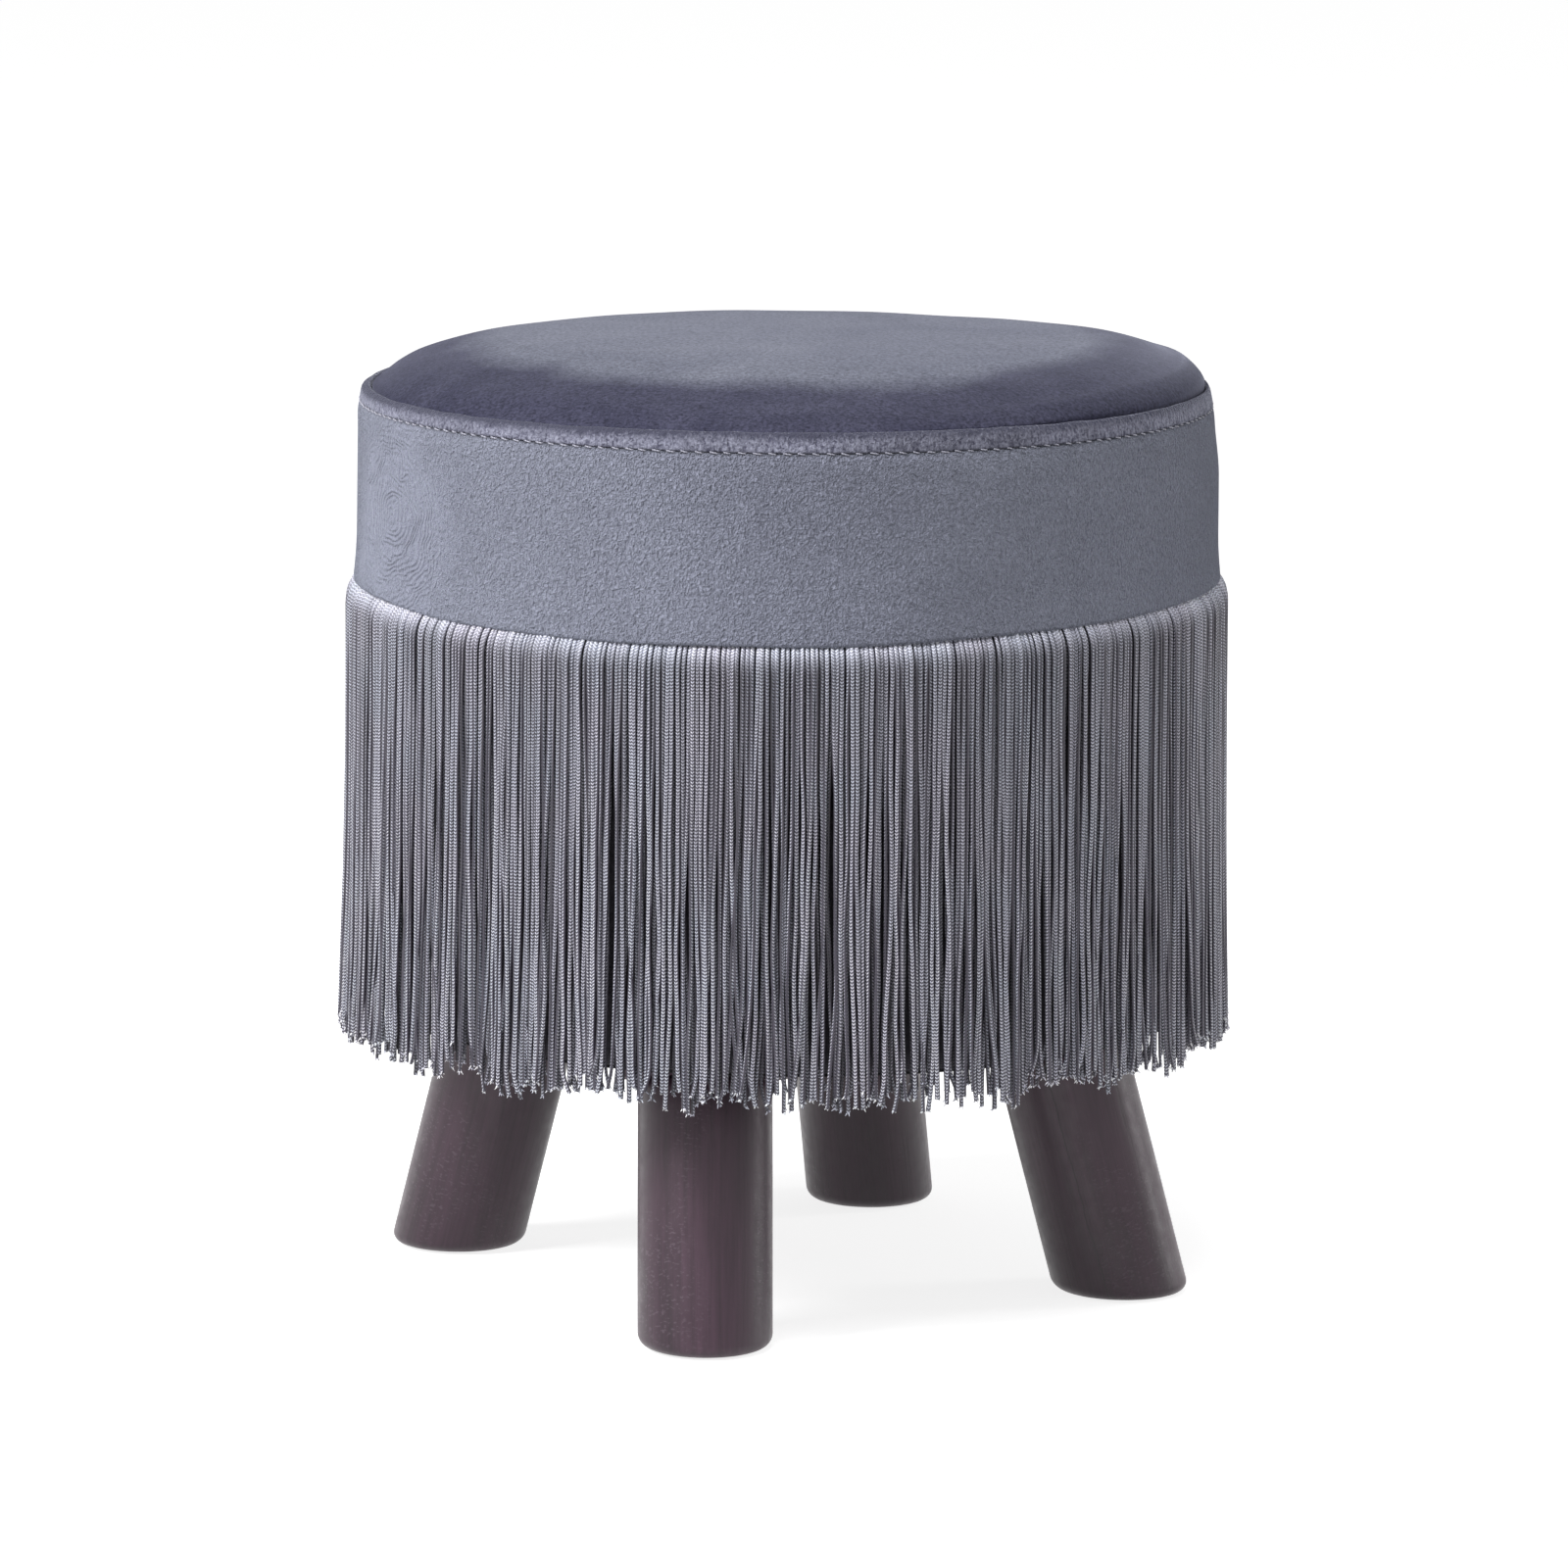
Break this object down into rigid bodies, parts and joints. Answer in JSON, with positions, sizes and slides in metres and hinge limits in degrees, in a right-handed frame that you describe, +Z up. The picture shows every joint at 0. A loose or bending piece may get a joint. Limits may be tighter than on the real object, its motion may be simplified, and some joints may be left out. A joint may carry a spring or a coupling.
{
  "type": "footstool",
  "caption": "Round footstool with a crowned velvet seat, a topstitched band, a long fringe skirt and thick splayed wooden legs.",
  "frame": {"origin": "on the floor under the middle of the seat", "axes": "+Z up; the front leg points to -Y, the right leg to +X, the back leg to +Y and the left leg to -X, each within about 5 degrees"},
  "size_m": [0.3267, 0.3267, 0.3505],
  "materials": {
    "slate_velvet": "short-pile velvet, slate blue-grey",
    "grey_thread": "light grey sewing thread",
    "lilac_grey_fringe": "chainette cords, grey with a lilac cast",
    "dark_lining": "dark smooth lining cloth",
    "dark_stained_wood": "dark stained wood, satin lacquer",
    "plain_wood": "plain planed wood",
    "plywood": "plywood",
    "fibreboard": "bent hardboard",
    "foam": "upholstery foam",
    "brass": "plain brass",
    "zinc_steel": "zinc plated",
    "dark_felt": "dense felt"
  },
  "bodies": {
    "root": {"velvet_top": "slate_velvet", "ridge_seam": "slate_velvet", "topstitch_thread": "grey_thread", "velvet_band": "slate_velvet", "foam_pad": "foam", "band_foam": "foam", "top_board": "plywood", "base_board": "plywood", "drum_wall": "fibreboard", "post_1": "plain_wood", "post_2": "plain_wood", "post_3": "plain_wood", "post_4": "plain_wood", "lining_sleeve": "dark_lining", "dust_cover": "dark_lining", "fringe_01": "lilac_grey_fringe", "fringe_02": "lilac_grey_fringe", "fringe_03": "lilac_grey_fringe", "fringe_04": "lilac_grey_fringe", "fringe_05": "lilac_grey_fringe", "fringe_06": "lilac_grey_fringe", "fringe_07": "lilac_grey_fringe", "fringe_08": "lilac_grey_fringe", "fringe_09": "lilac_grey_fringe", "fringe_10": "lilac_grey_fringe", "fringe_11": "lilac_grey_fringe", "fringe_12": "lilac_grey_fringe", "leg_front": "dark_stained_wood", "splay_block_front": "dark_stained_wood", "insert_nut_front": "brass", "hanger_bolt_front": "zinc_steel", "block_screw_front_1": "zinc_steel", "block_screw_front_2": "zinc_steel", "felt_glide_front": "dark_felt", "leg_right": "dark_stained_wood", "splay_block_right": "dark_stained_wood", "insert_nut_right": "brass", "hanger_bolt_right": "zinc_steel", "block_screw_right_1": "zinc_steel", "block_screw_right_2": "zinc_steel", "felt_glide_right": "dark_felt", "leg_back": "dark_stained_wood", "splay_block_back": "dark_stained_wood", "insert_nut_back": "brass", "hanger_bolt_back": "zinc_steel", "block_screw_back_1": "zinc_steel", "block_screw_back_2": "zinc_steel", "felt_glide_back": "dark_felt", "leg_left": "dark_stained_wood", "splay_block_left": "dark_stained_wood", "insert_nut_left": "brass", "hanger_bolt_left": "zinc_steel", "block_screw_left_1": "zinc_steel", "block_screw_left_2": "zinc_steel", "felt_glide_left": "dark_felt"}
  },
  "joints": []
}
